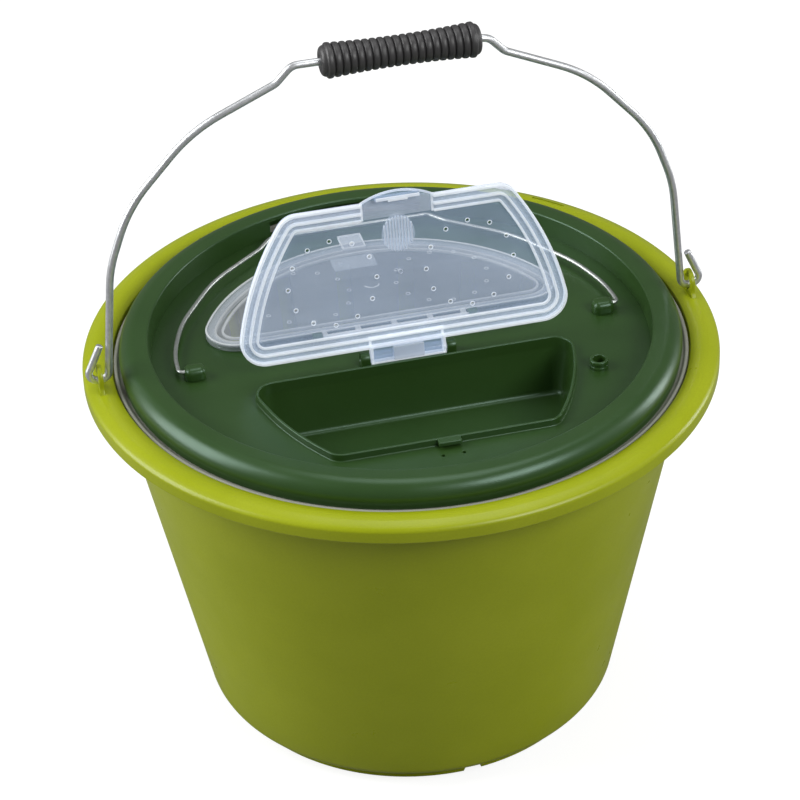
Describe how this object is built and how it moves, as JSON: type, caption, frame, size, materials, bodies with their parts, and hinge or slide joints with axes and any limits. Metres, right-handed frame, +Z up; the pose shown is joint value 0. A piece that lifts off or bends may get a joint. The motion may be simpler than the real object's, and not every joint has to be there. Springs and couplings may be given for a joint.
{
  "type": "aerated bait bucket",
  "caption": "Tapered bait bucket with a wire bail and spin grip, a perforated basket in its mouth, and a lid with an aerator well under a clear flap and a bait hatch under a clear cover.",
  "frame": {"origin": "middle of the foot ring, on the ground", "axes": "+Z up, +X along the bail's pivot line, -Y towards the aerator well"},
  "size_m": [0.34, 0.34, 0.3984],
  "materials": {
    "bucket": "semi-gloss moulded",
    "wire": "galvanised satin",
    "grip": "satin",
    "basket": "matt",
    "lid": "semi-gloss moulded",
    "clear_cover": "clear"
  },
  "bodies": {
    "bucket": {"outer_bucket": "bucket", "bucket_rim": "bucket", "bucket_floor": "bucket", "bail_ear_left": "bucket", "bail_ear_right": "bucket"},
    "bail": {"bail_wire": "wire"},
    "grip": {"bail_grip": "grip"},
    "basket": {"basket_rim": "basket", "basket_side": "basket", "basket_bottom": "basket"},
    "lid": {"lid_rim": "lid", "lid_deck": "lid", "hatch_lip": "lid", "lid_well": "lid", "flap_posts": "lid", "cover_posts": "lid", "handle_lugs": "lid", "latch_ledge": "lid", "hose_port": "lid"},
    "flap": {"front_flap": "clear_cover"},
    "cover": {"rear_cover": "clear_cover", "cover_border": "clear_cover", "cover_tongue": "clear_cover"},
    "handle": {"lid_handle": "wire"}
  },
  "joints": [
    {"name": "bail_swing", "type": "hinge", "parent": "bucket", "child": "bail", "pos_m": [0, 0, 0.2221], "axis": [1, 0, 0], "range_deg": [-88, 88]},
    {"name": "grip_spin", "type": "hinge", "parent": "bail", "child": "grip", "pos_m": [0.005, 0, 0.3892], "axis": [1, 0, 0], "continuous": true},
    {"name": "basket_lift", "type": "slide", "parent": "bucket", "child": "basket", "axis": [0, 0, 1], "range_m": [0, 0.02]},
    {"name": "lid_lift", "type": "slide", "parent": "basket", "child": "lid", "axis": [0, 0, 1], "range_m": [0, 0.04]},
    {"name": "flap_hinge", "type": "hinge", "parent": "lid", "child": "flap", "pos_m": [0, -0.016, 0.2189], "axis": [1, 0, 0], "range_deg": [0, 99]},
    {"name": "cover_hinge", "type": "hinge", "parent": "lid", "child": "cover", "pos_m": [0, 0.0098, 0.2189], "axis": [1, 0, 0], "range_deg": [0, 80]},
    {"name": "handle_swing", "type": "hinge", "parent": "lid", "child": "handle", "pos_m": [0, -0.0025, 0.2197], "axis": [1, 0, 0], "range_deg": [0, 110]}
  ]
}
